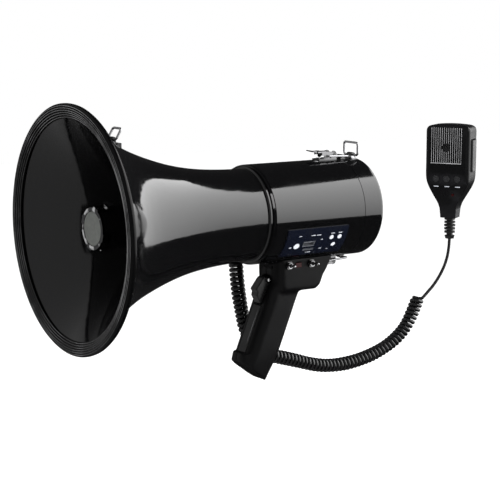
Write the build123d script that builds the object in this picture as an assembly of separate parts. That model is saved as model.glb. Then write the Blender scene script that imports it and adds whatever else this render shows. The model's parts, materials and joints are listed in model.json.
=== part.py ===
from build123d import *
import math
import os

# Handheld megaphone with a corded microphone.
# Millimetres. The horn's axis runs along X with its mouth towards -X, +Z is up, and the origin is in
# the middle of the hand grip. The control panel is on the -Y flank, called the near side here.

# ---- driving dimensions ----
axis_z = 114.0            # horn axis above the grip's middle
mouth_x = -217.0          # plane of the horn's mouth
rim_radius = 115.0
neck_end_x = -27.0        # rear end of the bell
barrel_front_x = -20.0
seam_x = 85.8             # where the battery cover meets the barrel
rear_x = 110.4
barrel_radius = 48.8
wall = 2.4
spigot_length = 7.0
grip_half_width = 17.0
housing_half_width = 20.0
strip_half_width = 7.5
coil_diameter = 14.0
wire_diameter = 3.2
mic_turn = 60.0           # the microphone's face is turned this far from -Y towards -X
mic_x = 276.0
mic_y = 42.0

HORN_AXIS = Axis((0, 0, axis_z), (1, 0, 0))
HALF_TURN = Pos(0, 0, axis_z) * Rot(X=180) * Pos(0, 0, -axis_z)


def save(name, shape):
    """Write one sub-part to its own STEP file."""
    shape.label = name
    export_step(shape, f"parts/{name}.step")


def group(shapes):
    """Several separate solids kept as one node."""
    solids = [solid for shape in shapes for solid in shape.solids()]
    return Compound(children=solids)


def turned(points):
    """Revolve a closed outline of (x, radius) points about the horn's axis."""
    outline = Polyline(*[(x, axis_z + r) for x, r in points], close=True)
    return revolve(Plane.XZ * make_face(outline), HORN_AXIS, 360)


def tube_x(x0, x1, outer, inner):
    """A plain ring along the horn's axis."""
    return turned([(x0, inner), (x0, outer), (x1, outer), (x1, inner)])


def radial(x, below, r=0.0):
    """Frame at radius r with +Z pointing out of the barrel, `below` degrees under the near side."""
    return Pos(x, 0, axis_z) * Rot(X=90 + below) * Pos(0, 0, r)


def sector(x0, x1, r0, r1, start, sweep):
    """A curved plate wrapped on the barrel, from `start` degrees under the near side."""
    outline = Polyline((x0, -r1), (x1, -r1), (x1, -r0), (x0, -r0), close=True)
    face = Pos(0, 0, axis_z) * make_face(outline)
    return revolve(face, HORN_AXIS, sweep).rotate(HORN_AXIS, start)


def rod(start, end, radius):
    """A round bar between two points."""
    a, b = Vector(*start), Vector(*end)
    plane = Plane(origin=a, z_dir=(b - a))
    return plane * Cylinder(radius, (b - a).length, align=(Align.CENTER, Align.CENTER, Align.MIN))


def along_y(x, z, radius, y0, y1):
    """A round bar parallel to Y."""
    return rod((x, y0, z), (x, y1, z), radius)


def block(x0, x1, y0, y1, z0, z1):
    """A rectangular solid from its two corners."""
    return Pos((x0 + x1) / 2, (y0 + y1) / 2, (z0 + z1) / 2) * Box(x1 - x0, y1 - y0, z1 - z0)


def wire_loop(points, radius, wire_radius, closed=True):
    """Round wire bent along a polygon with equal corner radii."""
    path = FilletPolyline(*points, radius=radius, close=closed)
    section = Plane(origin=path @ 0, z_dir=path % 0) * Circle(wire_radius)
    return sweep(section, path=path)


barrel_clear = tube_x(-60, 160, barrel_radius + 0.05, 0.01)

# ---- horn ----
bell_stations = [(5.5, 107.5), (20, 94), (42, 78.6), (75, 63.6), (115, 51.7), (155, 46.3), (190, 45.2)]
bell_wall = 2.5


def bell_line(inset):
    """The bell's flare as (x, radius) points, moved inwards along its own normal."""
    shifted = []
    last = len(bell_stations) - 1
    for i, (x, r) in enumerate(bell_stations):
        ahead = bell_stations[min(i + 1, last)]
        behind = bell_stations[max(i - 1, 0)]
        slope = math.atan2(behind[1] - ahead[1], ahead[0] - behind[0])
        shifted.append((x - inset * math.sin(slope), r - inset * math.cos(slope)))
    return shifted


def bell_edge(inset):
    return Spline(*[(mouth_x + x, axis_z + r) for x, r in bell_line(inset)])


def horn_bell():
    outer = bell_edge(0)
    inner = bell_edge(bell_wall)
    face = make_face([outer, inner, Line(outer @ 0, inner @ 0), Line(outer @ 1, inner @ 1)])
    return revolve(Plane.XZ * face, HORN_AXIS, 360)


rest_plane_x = mouth_x + 0.3   # the front rings end in flats that the mouth can stand on


def rim_trim(ridge_count=5, ridge_radius=0.9):
    """Moulded ring that covers the lip of the bell, with fine rings raised on its front."""
    lip_x = mouth_x + 5.5
    ring = turned([
        (mouth_x + 0.4, rim_radius - 1.2),
        (mouth_x + 1.4, rim_radius),
        (mouth_x + 4.4, rim_radius),
        (lip_x + 1.5, rim_radius - 2.2),
        (lip_x + 0.6, 108.4),
        (lip_x - 0.9, 107.4),
        (lip_x - 2.1, 105.2),
        (mouth_x + 4.6, 101.6),
        (mouth_x + 3.4, 101.6),
        (mouth_x + 1.2, 106.4),
    ])
    for i in range(ridge_count):
        r = rim_radius - 2.2 - i * 2.3
        x = mouth_x + 0.9 + max(0, i - 2) * 0.9
        ridge = Plane.XZ * Pos(x, axis_z + r) * Circle(ridge_radius)
        ring += revolve(ridge, HORN_AXIS, 360)
    return ring - tube_x(mouth_x - 5, rest_plane_x, rim_radius + 5, 90)


pod_front_x = mouth_x + 25.0
pod_rear_x = mouth_x + 62.0
pod_radius = 19.5
tone_rear_x = mouth_x + 148.0


def driver_housing():
    cup = tube_x(pod_front_x + 2.5, pod_rear_x, pod_radius, pod_radius - 2)
    back = tube_x(pod_rear_x, pod_rear_x + 2.5, pod_radius, 9.2)
    return cup + back


def driver_cap():
    """Slightly domed disc that closes the pod."""
    x = pod_front_x
    outline = [(x - 0.6, 0), (x - 0.3, 8), (x + 0.5, 15.6), (x + 2.4, 16), (x + 2.4, 0)]
    return turned(outline)


def driver_ring(clip_count=4):
    """Sheet-metal ring around the cap, with clips that hook over the pod's side."""
    ring = tube_x(pod_front_x + 0.3, pod_front_x + 2.4, pod_radius, 16.2)
    for i in range(clip_count):
        clip = block(pod_front_x + 0.3, pod_front_x + 12, -4, 4, pod_radius + 0.05, pod_radius + 1.15)
        clip += block(pod_front_x + 0.3, pod_front_x + 1.4, -4, 4, pod_radius - 1, pod_radius + 1.1)
        clip += block(pod_front_x + 11, pod_front_x + 12, -4, 4, pod_radius + 0.05, pod_radius + 2.4)
        ring += Pos(0, 0, axis_z) * Rot(X=20 + i * 360 / clip_count) * clip
    return ring


def driver_magnet():
    x = pod_front_x + 4
    return tube_x(x, x + 14, 16, 4)


def driver_diaphragm():
    x = pod_front_x + 20
    front = [(x, 0), (x, 7), (x + 3, 12), (x + 3, 17)]
    rear = [(x + 4, 17), (x + 4, 11), (x + 1, 6.5), (x + 1, 0)]
    return turned(front + rear)


def tone_tube(vane_count=3):
    """Inner tube of the folded horn, flaring rearwards, held in the bell by thin vanes."""
    x0 = pod_rear_x + 2.5
    length = tone_rear_x - x0

    def flare(shift):
        return [(x0 + t * length, 10 + shift + 14 * t ** 2) for t in (0, 0.35, 0.7, 1)]

    outer = Spline(*[(x, axis_z + r) for x, r in flare(2)])
    inner = Spline(*[(x, axis_z + r) for x, r in flare(0)])
    face = make_face([outer, inner, Line(outer @ 0, inner @ 0), Line(outer @ 1, inner @ 1)])
    tube = revolve(Plane.XZ * face, HORN_AXIS, 360)
    reach = revolve(Plane.XZ * make_face([
        bell_edge(bell_wall + 0.05),
        Polyline(
            bell_edge(bell_wall + 0.05) @ 0,
            (mouth_x, axis_z),
            (neck_end_x, axis_z),
            bell_edge(bell_wall + 0.05) @ 1,
        ),
    ]), HORN_AXIS, 360)
    for i in range(vane_count):
        vane = block(tone_rear_x - 26, tone_rear_x - 4, -1.2, 1.2, 21.5, 60)
        tube += (Pos(0, 0, axis_z) * Rot(X=i * 360 / vane_count) * vane) & reach
    return tube


def horn_bulkhead():
    """Bowl at the rear of the bell that turns the sound forwards again."""
    x = neck_end_x
    return turned([(x - 12, 42.2), (x - 12, 39.5), (x - 4, 24), (x - 2, 0), (x, 0), (x, 42.2)])


# ---- collar, barrel and battery cover ----
def front_collar():
    """Stepped ring with two grooves where the bell meets the barrel."""
    x0, x1 = neck_end_x, barrel_front_x
    return turned([
        (x0, 42), (x0, 46.4), (x0 + 1.2, 47.6), (x0 + 2.6, 47.6), (x0 + 2.8, 46.4), (x0 + 3.6, 46.4),
        (x0 + 3.8, 48.6), (x1 - 1.0, barrel_radius), (x1 - 0.9, 47.4), (x1, 47.4), (x1, 42),
    ])


def barrel():
    inner = barrel_radius - wall
    shell = tube_x(barrel_front_x, seam_x, barrel_radius, inner)
    shell += tube_x(barrel_front_x, barrel_front_x + wall, inner, 6)
    for cutter in panel_cutters():
        shell -= cutter
    return shell


def battery_cover():
    """Rear cap with a spigot that slides into the barrel."""
    inner = barrel_radius - wall
    body = turned([
        (seam_x + 0.6, inner - 2.4), (seam_x + 0.6, barrel_radius), (rear_x, barrel_radius),
        (rear_x, 0), (rear_x - wall, 0), (rear_x - wall, inner - 2.4),
    ])
    rounded = fillet(body.edges().filter_by(GeomType.CIRCLE).sort_by(Axis.X)[-1], 4.3)
    spigot = tube_x(seam_x - spigot_length, seam_x + 0.6, inner - 0.4, inner - 2.4)
    plate = tube_x(rear_x, rear_x + 0.8, 30, 24)
    return rounded + spigot + plate


def cover_gasket():
    inner = barrel_radius - wall
    return tube_x(seam_x + 0.2, seam_x + 0.6, barrel_radius - 0.4, inner - 0.35)


# ---- control panel on the near flank ----
panel_x0, panel_x1 = -6.0, 66.0
panel_start, panel_sweep = 13.0, 38.0
panel_radius = 50.1
panel_buttons = [("main", 8.4, 35.0, 3.4), ("play", 47.8, 26.5, 2.5), ("next", 57.5, 26.5, 2.5),
                 ("mode", 53.0, 37.0, 2.5)]
button_gap = 0.35
usb_place = (22.5, 33.0)
card_place = (24.5, 41.5)


def button_hole(x, below, radius):
    hole = Cylinder(radius + button_gap, 12, align=(Align.CENTER, Align.CENTER, Align.MIN))
    return radial(x, below, barrel_radius - 6) * hole


def socket_hole(place, width, height):
    return radial(place[0], place[1], barrel_radius - 1) * Box(width, height, 8)


def panel_cutters():
    holes = [button_hole(x, below, r) for _, x, below, r in panel_buttons]
    holes.append(socket_hole(usb_place, 14.2, 6.9))
    holes.append(socket_hole(card_place, 13.2, 3.2))
    return holes


def control_panel():
    plate = sector(panel_x0, panel_x1, barrel_radius + 0.02, panel_radius, panel_start, panel_sweep)
    for cutter in panel_cutters():
        plate -= cutter
    return plate


def panel_button(x, below, radius):
    cap = Cylinder(radius, 4.6, align=(Align.CENTER, Align.CENTER, Align.MIN))
    foot = Cylinder(radius + 0.9, 1.0, align=(Align.CENTER, Align.CENTER, Align.MAX))
    top = fillet(cap.edges().filter_by(GeomType.CIRCLE).sort_by(Axis.Z)[-1], 0.6)
    return radial(x, below, barrel_radius - wall - 0.9) * (top + foot)


def media_sockets():
    """USB socket with its tongue, and a card slot below it."""
    usb = Box(14, 6.7, 11) - Pos(0, 0, 1) * Box(12.6, 5.1, 11)
    tongue = Pos(0, 1.0, -0.5) * Box(10.6, 1.8, 9)
    card = Box(13, 3, 9) - Pos(0, 0, 1) * Box(11.6, 1.4, 9)
    usb_part = radial(*usb_place, barrel_radius - 4.6) * (usb + tongue)
    return group([usb_part, radial(*card_place, barrel_radius - 3.6) * card])


def amplifier_board():
    """Circuit board behind the panel, with a finned heat sink and a few parts on it."""
    board = Box(86, 26, 1.6)
    for i in range(4):
        board += Pos(26 + i * 3.2, 0, -2.3) * Box(1.4, 20, 3)
    board += Pos(26 + 4.8, 0, -1.2) * Box(13, 20, 0.8)
    for i, x in enumerate((-34, -24, -14, -4)):
        board += Pos(x, 5 - 3 * (i % 2), -2.4) * Cylinder(2.6, 3.2)
    return radial(32, 32, 36.2) * board


# ---- batteries ----
cell_radius = 13.1
cell_length = 50.0
cell_ring = 18.6
cell_layers = [-9.0, 46.0]


def battery_tray():
    """Cradle of three round plates on a central rod, cut away beside the circuit board."""
    tray = tube_x(-13.5, 98.1, 4.2, 0.01)
    for x, r in ((-13.5, 45.6), (41.4, 45.6), (96.4, 43.2)):
        plate = tube_x(x, x + 1.7, r, 0.01)
        plate -= radial(x, 32, 48) * Box(10, 46, 28)
        tray += plate
    return tray


def cell_places():
    for x in cell_layers:
        for i in range(4):
            angle = math.radians(45 + 32 + i * 90)
            yield x, cell_ring * math.cos(angle), axis_z + cell_ring * math.sin(angle)


def battery_cells():
    cells = []
    for x, y, z in cell_places():
        can = rod((x, y, z), (x + cell_length - 1.6, y, z), cell_radius)
        tip = rod((x + cell_length - 1.6, y, z), (x + cell_length, y, z), 4)
        cells.append(can + tip)
    return group(cells)


def battery_contacts():
    """Coil-spring contacts, as short plain studs, at the flat end of each cell."""
    return group([rod((x - 2.2, y, z), (x - 0.05, y, z), 4.5) for x, y, z in cell_places()])


# ---- draw latches ----
lever_pin = (79.0, 54.2)       # x, and height above the horn's axis
bail_pin = (70.5, 52.6)
bail_bar = (95.0, 51.4)
latch_tip_x = 55.0
bail_wire = 0.9
bail_half_width = 8.5


def up(height):
    """Height above the horn's axis as a Z coordinate."""
    return axis_z + height


def latch_base():
    """Riveted foot with two ears for the lever's pin, shaped to the barrel."""
    foot = block(61, 82.5, -6, 6, up(44), up(49.9))
    for side in (-1, 1):
        ear = block(75.6, 82.4, side * 5.5 - 0.5, side * 5.5 + 0.5, up(44), up(lever_pin[1]))
        ear += along_y(lever_pin[0], up(lever_pin[1]), 3.2, side * 5.5 - 0.5, side * 5.5 + 0.5)
        foot += ear
    foot -= along_y(lever_pin[0], up(lever_pin[1]), 1.2, -9, 9)
    for x in (64, 70):
        foot -= rod((x, 0, up(40)), (x, 0, up(60)), 1.3)
    return foot - barrel_clear


def latch_lever():
    """Folded channel: a top plate with a turned-up tip and two side flanges."""
    plate = block(latch_tip_x + 4, 68.5, -7, 7, up(56.3), up(57.3))
    tip = Pos(latch_tip_x + 4, 0, up(56.8)) * Rot(Y=14) * Pos(-2.6, 0, 0) * Box(6, 12, 1)
    plate += tip
    for side in (-1, 1):
        y0, y1 = side * 6.65 - 0.35, side * 6.65 + 0.35
        flange = block(latch_tip_x + 9, 80, y0, y1, up(53.4), up(56.8))
        flange += along_y(lever_pin[0], up(lever_pin[1]), 2.6, y0, y1)
        flange += along_y(bail_pin[0], up(bail_pin[1]), 2.2, y0, y1)
        plate += flange
    plate -= along_y(lever_pin[0], up(lever_pin[1]), 1.26, -9, 9)
    plate -= along_y(bail_pin[0], up(bail_pin[1]), bail_wire + 0.06, -9, 9)
    return plate


def latch_bail():
    """Wire loop from the lever to the catch, with its ends turned into the flanges."""
    x0, z0 = bail_pin[0], up(bail_pin[1])
    x1, z1 = bail_bar[0], up(bail_bar[1])
    y = bail_half_width
    points = [(x0, -6.2, z0), (x0, -y, z0), (x1, -y, z1), (x1, y, z1), (x0, y, z0), (x0, 6.2, z0)]
    return wire_loop(points, 1.3, bail_wire, closed=False)


def latch_catch():
    """Small hook on the cover that the bail's bar pulls against."""
    gap = 0.6
    x1 = bail_bar[0] - bail_wire - gap
    post = block(x1 - 2.6, x1, -3.5, 3.5, up(44), up(52.0))
    foot = block(x1 - 5.5, x1, -5.5, 5.5, up(44), up(49.7))
    return (post + foot) - barrel_clear


def latch_pin():
    return along_y(lever_pin[0], up(lever_pin[1]), 1.2, -7.3, 7.3)


def latch_rivets():
    rivets = []
    for x in (64, 70):
        shank = rod((x, 0, up(barrel_radius + 0.06)), (x, 0, up(50.0)), 1.25)
        head = Pos(x, 0, up(50.35)) * Cylinder(2.1, 0.8)
        rivets.append(shank + head)
    return rivets


# ---- strap brackets and rings ----
rear_ring_x = 105.0
front_ring_x = -170.0
front_ring_r = 80.6
ring_wire = 1.1


def strap_ring(x, z, half_width, height, lean):
    """Rectangular wire ring standing on its bracket, leaning rearwards by `lean` degrees."""
    points = [(0, -half_width, 0), (0, half_width, 0), (0, half_width, height), (0, -half_width, height)]
    return Pos(x, 0, z) * Rot(Y=lean) * wire_loop(points, 2.4, ring_wire)


def strap_lug(x, z, base_z, half_width):
    """Lug with a cross hole that the ring's lower bar turns in."""
    lug = block(x - 2.6, x + 2.6, -half_width, half_width, base_z, z)
    lug += along_y(x, z, 2.6, -half_width, half_width)
    return lug - along_y(x, z, ring_wire + 0.06, -half_width - 1, half_width + 1)


rear_ring_z = axis_z + barrel_radius + 2.9


def rear_strap_bracket():
    lug = strap_lug(rear_ring_x, rear_ring_z, axis_z + 40, 4)
    foot = block(rear_ring_x - 5, rear_ring_x + 1, -8, 8, axis_z + 40, axis_z + barrel_radius + 0.6)
    foot -= along_y(rear_ring_x, rear_ring_z, 2.7, -9, 9)
    return (lug + foot) - barrel_clear


def front_strap_bracket():
    z = axis_z + front_ring_r
    lug = strap_lug(front_ring_x, z, z - 12, 3.2)
    lug += block(front_ring_x - 4, front_ring_x + 7, -5.5, 5.5, z - 12, z - 3.4)
    outer = bell_edge(-0.05)
    keep_out = revolve(Plane.XZ * make_face([
        outer,
        Polyline(outer @ 0, (mouth_x + 5.5, axis_z), (neck_end_x, axis_z), outer @ 1),
    ]), HORN_AXIS, 360)
    return lug - keep_out


# ---- handle ----
def rounded_section(z, x_front, x_back, half_width, corner):
    centre = ((x_front + x_back) / 2, 0, z)
    return Pos(*centre) * RectangleRounded(x_back - x_front, 2 * half_width, corner)


def grip_sections(inset):
    """Stations down the raked grip: height, front, back, half width, corner radius."""
    stations = [(48, 2, 42, 17, 10), (26, -8, 29.5, 17, 10), (14, -12.8, 24.4, 17, 10),
                (0, -18.8, 18.6, 17, 10), (-20, -27.2, 10.2, 17, 10), (-34, -32.6, 3.4, 16, 9.5),
                (-54, -40, -7, 15, 9)]
    return [rounded_section(z, front + inset, back - inset, half - inset, corner - inset * 0.6)
            for z, front, back, half, corner in stations]


def heel_cut(inset):
    """Everything under the sloping foot of the grip."""
    slope = math.degrees(math.atan2(49.8 - 30, 34 - 8))
    return Pos(-34, 0, -30 + inset * 1.25) * Rot(Y=slope) * Pos(30, 0, -20) * Box(120, 60, 40)


def grip_solid(inset=0.0):
    body = loft([section for section in grip_sections(inset)])
    if inset == 0:
        toe = loft([rounded_section(-21.5, -33.0, -4, 13, 8), rounded_section(-30, -34.6, -6, 14, 8.5),
                    rounded_section(-48, -36, -10, 14, 8.5)])
        body += toe
    return body - heel_cut(inset)


def housing_side(inset=0.0):
    """Side outline of the switch housing under the barrel."""
    i = inset
    points = [(-12.5 + i, 72), (-12.5 + i, 66.4), (-3.5 + i, 64.6 - i), (1.4 + i, 59.5), (1.4 + i, 45),
              (10 + i, 37 + i), (49 - i, 36.4 + i), (54.2 - i, 41 + i), (57.8 - i, 50), (69.2 - i, 70),
              (70 - i, 76), (-12.5 + i, 76)]
    outline = Polyline(*points, close=True)
    return extrude(Plane.XZ * make_face(outline), housing_half_width - i, both=True)


def housing_plan(inset=0.0):
    """Plan outline: a narrow nose that swells to the full width, with rounded rear corners."""
    i = inset
    nose, full = strip_half_width - i, housing_half_width - i
    corner = 8.0
    back = 74.0 - i
    swell_x = 10.5
    edge = [
        Line((-15 + i, -nose), (1.0, -nose)),
        Spline((1.0, -nose), (swell_x, -full), tangents=((0.35, -1), (1, 0))),
        Line((swell_x, -full), (back - corner, -full)),
        Line((back - corner, -full), (back, -full + corner)),
        Line((back, -full + corner), (back, full - corner)),
        Line((back, full - corner), (back - corner, full)),
        Line((back - corner, full), (swell_x, full)),
        Spline((swell_x, full), (1.0, nose), tangents=((-1, 0), (-0.35, -1))),
        Line((1.0, nose), (-15 + i, nose)),
        Line((-15 + i, nose), (-15 + i, -nose)),
    ]
    return extrude(Pos(0, 0, 20) * make_face(edge), 60)


latch_pocket = along_y(lever_pin[0], axis_z - lever_pin[1], 27.5, -11, 11)
latch_pocket_skin = along_y(lever_pin[0], axis_z - lever_pin[1], 27.5 + wall, -13.4, 13.4)


def housing():
    """Switch housing with its lower and rear edges rounded."""
    body = housing_side() & housing_plan()
    soft = body.edges().filter_by(lambda edge: edge.center().Z < 65 and edge.center().X > 12)
    return fillet(soft, 2.2)


def handle_solid():
    body = housing() + grip_solid()
    return body - barrel_clear - latch_pocket


def handle_hollow():
    hollow = (housing_side(wall) & housing_plan(wall)) + grip_solid(wall)
    return hollow - tube_x(-60, 160, barrel_radius + wall, 0.01) - latch_pocket_skin


trigger_pin_at = (-1.2, 49.0)
trigger_half_width = 6.0


def trigger_outline(grow=0.0):
    """Side outline of the trigger, swept forwards to a step under the first finger."""
    g = grow
    return Polyline((-5.5 - g, 51.0 + g), (-14.2 - g, 40.0), (-12.4 - g, 37.2), (-13.2 - g, 33.6),
                    (-9.2 - g, 25.4 - g), (-3.2 + g, 25.4 - g), (2.4 + g, 38), (3.0 + g, 51.0 + g),
                    close=True)


def trigger():
    body = extrude(Plane.XZ * make_face(trigger_outline()), trigger_half_width, both=True)
    hollow = extrude(Plane.XZ * make_face(Polyline(
        (-4, 45), (-10, 38), (-9, 28), (-3, 28), (4, 38), (4, 45), close=True)), 4.2, both=True)
    body -= hollow
    return body - along_y(*trigger_pin_at, 1.56, -10, 10)


def trigger_space():
    """Room for the trigger over its whole travel."""
    return extrude(Plane.XZ * make_face(Polyline(
        (-30, 52), (-30, 24.6), (1, 24.6), (7.4, 37), (4.4, 52), close=True)), trigger_half_width + 0.4,
        both=True)


def trigger_pin():
    return along_y(*trigger_pin_at, 1.5, -8.6, 8.6)


def trigger_spring():
    """Return spring behind the trigger, as one plain closed cylinder."""
    return rod((3.4, 0, 34.5), (9.4, 0, 34.5), 2.4)


def trigger_switch():
    body = block(10, 20, -3.2, 3.2, 30, 50)
    button = rod((8.9, 0, 42.5), (10, 0, 42.5), 1.0)
    return body + button


def grip_strip():
    """Inlaid strip down the front of the grip."""
    shape = extrude(Plane.XZ * make_face(Polyline(
        (-9.6, 23.6), (-28.4, -21.2), (-24.0, -21.2), (-4.2, 23.6), close=True)),
        strip_half_width - 1.2, both=True)
    return shape


toggle_places = [(14.6, 63.5), (41.2, 63.4)]
toggle_wall_y = -housing_half_width
toggle_reach = 9.0


def toggle_body(x, z):
    """Miniature switch: case inside the wall and a threaded bush through it."""
    case = block(x - 3.4, x + 3.4, toggle_wall_y + wall + 0.05, toggle_wall_y + wall + 8, z - 10, z)
    bush = rod((x, toggle_wall_y + wall + 0.05, z), (x, toggle_wall_y - 3.4, z), 2.9)
    socket = rod((x, toggle_wall_y + 1.6, z), (x, toggle_wall_y - 3.6, z), 2.2)
    return case + bush - socket


def toggle_nut(x, z):
    nut = extrude(Plane.XZ * RegularPolygon(4.3, 6), 1.6)
    return Pos(x, toggle_wall_y, z) * nut - rod((x, 0, z), (x, -40, z), 2.95)


def toggle_lever(x, z, lean):
    """Bat lever on an upright pivot in the bush; `lean` turns its tip towards +X."""
    pivot = Rot(X=90) * Cylinder(1.5, 2.2)
    stem = Cone(1.0, 1.4, toggle_reach, align=(Align.CENTER, Align.CENTER, Align.MIN))
    tip = Pos(0, 0, toggle_reach) * Sphere(1.7)
    return Pos(x, toggle_wall_y - 0.2, z) * Rot(Z=lean) * Rot(X=90) * (pivot + stem + tip)


lens_place = (26.0, 62.8)


def indicator_lens():
    x, z = lens_place
    return block(x - 3.4, x + 3.4, toggle_wall_y - 0.6, toggle_wall_y + wall, z - 2.2, z + 2.2)


handle_screw_places = [(31, 46), (50, 59), (10, 10), (-12, -30)]


def handle_cutters():
    cuts = [trigger_space(), trigger_pin(), grip_strip()]
    for x, z in toggle_places:
        cuts.append(rod((x, 0, z), (x, -40, z), 2.95))
    x, z = lens_place
    cuts.append(block(x - 3.5, x + 3.5, toggle_wall_y - 2, toggle_wall_y + wall + 1, z - 2.3, z + 2.3))
    for x, z in handle_screw_places:
        cuts.append(along_y(x, z, 1.6, 0, 40))
        cuts.append(along_y(x, z, 3.2, screw_head_y(z), 40))
    return cuts


def screw_head_y(z):
    return (housing_half_width if z > 36 else grip_half_width) - 3.0


def handle_halves():
    shell = handle_solid() - handle_hollow()
    for x, z in handle_screw_places:
        shell += along_y(x, z, 4.2, -30, 30) & handle_solid()
    for cutter in handle_cutters():
        shell -= cutter
    near_side = block(-100, 150, -60, 0, -80, 120)
    far_side = block(-100, 150, 0, 60, -80, 120)
    return shell & near_side, shell & far_side


def handle_screws():
    screws = []
    for x, z in handle_screw_places:
        seat = screw_head_y(z)
        screws.append(along_y(x, z, 1.55, 1, seat) + along_y(x, z, 3.0, seat, seat + 1.8))
    return group(screws)


# ---- cord ----
gland_top = (-7.0, 42.0, 92.0)
gland_bottom_z = 66.0
coil_route = [
    (-7.0, 42.0, 66.0), (-5.2, 42.0, 38.0), (0.0, 42.0, 10.0), (5.5, 42.0, -14.0), (26.0, 42.0, -38.0),
    (60.0, 42.0, -47.6), (96.0, 42.0, -59.6), (124.0, 42.0, -62.6), (152.0, 42.0, -60.6),
    (180.0, 42.0, -54.0), (204.0, 42.0, -42.4), (221.0, 42.0, -25.6), (231.5, 42.0, -2.4),
]
tail_route = [
    (236.0, 42.0, -4.4), (243.6, 42.0, 1.6), (257.0, 42.0, 12.6), (269.2, 42.0, 29.0),
    (275.4, 42.0, 46.0), (276.0, 42.0, 60.4),
]


def bend_radii(route):
    """One radius for each corner: 0.45 of its shorter run over the tangent of half its turn."""
    radii = []
    for before, here, after in zip(route, route[1:], route[2:]):
        run_in = Vector(*here) - Vector(*before)
        run_out = Vector(*after) - Vector(*here)
        turn = math.radians(run_in.get_angle(run_out))
        radii.append(0.45 * min(run_in.length, run_out.length) / math.tan(turn / 2))
    return radii


def cord_tube(name, route, diameter):
    radii = bend_radii(route)
    path = FilletPolyline(*route, radius=radii)
    section = Plane(origin=path @ 0, z_dir=path % 0) * Circle(diameter / 2)
    solid = sweep(section, path=path)
    expected = math.pi * diameter ** 2 / 4 * path.length
    print(name, "length", round(path.length, 1), "volume ratio", round(solid.volume / expected, 4),
          "radii", [round(r, 1) for r in radii])
    return solid


def cord_gland():
    """Moulded boss on the far flank with a downward outlet for the curly cord."""
    x, y, z = gland_top
    boss = rod((x, y, z), (x, y, gland_bottom_z + 10), 8.5)
    sleeve = Pos(x, y, gland_bottom_z) * Cone(6.2, 7.4, 10, align=(Align.CENTER, Align.CENTER, Align.MIN))
    return (boss + sleeve) - barrel_clear


# ---- microphone ----
MIC = Pos(mic_x, mic_y, 0) * Rot(Z=-mic_turn)
mic_bottom_z = 84.0
mic_top_z = 186.6
mic_wall = 2.0
mic_depth = 28.0
mic_edge_radius = 4.5


def mic_face(inset):
    """Front outline: straight sides, a crowned top and shoulders that run down to a neck."""
    i = inset
    w, neck, corner = 25 - i, 8.6 - i, 7 - 0.6 * i
    low, high = mic_bottom_z + i, mic_top_z - i
    edges = []
    for side in (-1, 1):
        edges += [
            Line((side * neck, low), (side * (neck + 0.8), 94)),
            Spline((side * (neck + 0.8), 94), (side * (15 - i), 107), (side * (w - 2.6), 120),
                   (side * w, 134), tangents=((side * 0.15, 1), (0, 1))),
            Line((side * w, 134), (side * w, high - corner - 1)),
            Spline((side * w, high - corner - 1), (side * (w - corner), high - 1),
                   tangents=((0, 1), (-side, 0.12))),
        ]
    edges.append(Spline((-w + corner, high - 1), (0, high), (w - corner, high - 1)))
    edges.append(Line((-neck, low), (neck, low)))
    return make_face(edges)


def mic_side(inset):
    """Side outline: full depth at the top, slimmer at the neck."""
    i = inset
    low, high = mic_bottom_z + i, mic_top_z - i
    half = mic_depth / 2 - i
    edges = [Line((-7.4 + i, low), (7.4 - i, low)), Line((-half + 1.5, high), (half - 1.5, high))]
    for side in (-1, 1):
        edges += [
            Spline((side * (7.4 - i), low), (side * (9.6 - i), 102), (side * (half - 0.9), 122),
                   (side * half, 142), tangents=((0, 1), (0, 1))),
            Spline((side * half, 142), (side * (half - 0.2), 172), (side * (half - 1.5), high),
                   tangents=((0, 1), (-side * 0.25, 1))),
        ]
    return make_face(edges)


def mic_body(inset=0.0):
    """The microphone's outer form, standing upright with its face towards local -Y."""
    half = mic_depth / 2 - inset
    front = extrude(Plane.XZ * mic_face(inset), half, both=True)
    rim = front.edges().filter_by(lambda edge: abs(abs(edge.center().Y) - half) < 0.01)
    rounded = fillet(rim, mic_edge_radius - 0.6 * inset)
    return rounded & extrude(Plane.YZ * mic_side(inset), 40, both=True)


mic_button_xs = [-12.2, 0.0, 12.2]
mic_button_z = 127.5
mic_button_radius = 3.6
mic_lamp_at = (6.5, 110.0)
talk_z0, talk_z1 = 136.0, 170.0


def mic_grille_cuts(rib_count=14, pitch=2.4):
    """Narrow upright slots in the sunken grille field."""
    field = block(-18.5, 16.0, -mic_depth / 2 - 4, -mic_depth / 2 + 1.0, 143.0, 181.0)
    first = -16.6
    slots = [block(first + i * pitch, first + i * pitch + 1.1, -20, -mic_depth / 2 + wall + 2,
                   146.0, 178.0) for i in range(rib_count)]
    return [field] + slots


def mic_front_cuts():
    cuts = mic_grille_cuts()
    for x in mic_button_xs:
        cuts.append(along_mic(x, mic_button_z, mic_button_radius + 0.35, -30, -4))
    cuts.append(along_mic(*mic_lamp_at, 1.6, -30, -4))
    cuts.append(talk_slot())
    return cuts


def along_mic(x, z, radius, y0, y1):
    """A round bar through the microphone's face, in its own upright frame."""
    return rod((x, y0, z), (x, y1, z), radius)


def talk_slot():
    return block(19, 40, -7.4, 7.4, talk_z0 - 1, talk_z1 + 1)


mic_screw_places = [(-19.0, 139.0), (12.5, 139.0), (-16.0, 180.5), (0.0, 106.0)]


def mic_shells():
    shell = mic_body() - mic_body(mic_wall)
    inner = mic_body()
    for x, z in mic_screw_places:
        shell += along_mic(x, z, 3.0, -30, 30) & inner
    for cutter in mic_front_cuts():
        shell -= cutter
    for x, z in mic_screw_places:
        shell -= along_mic(x, z, 1.1, -8, 40)
        shell -= along_mic(x, z, 2.3, 9.5, 40)
    shell -= mic_relief_hole()
    front = block(-60, 60, -60, 0, 60, 220)
    back = block(-60, 60, 0, 60, 60, 220)
    return MIC * (shell & front), MIC * (shell & back)


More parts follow.
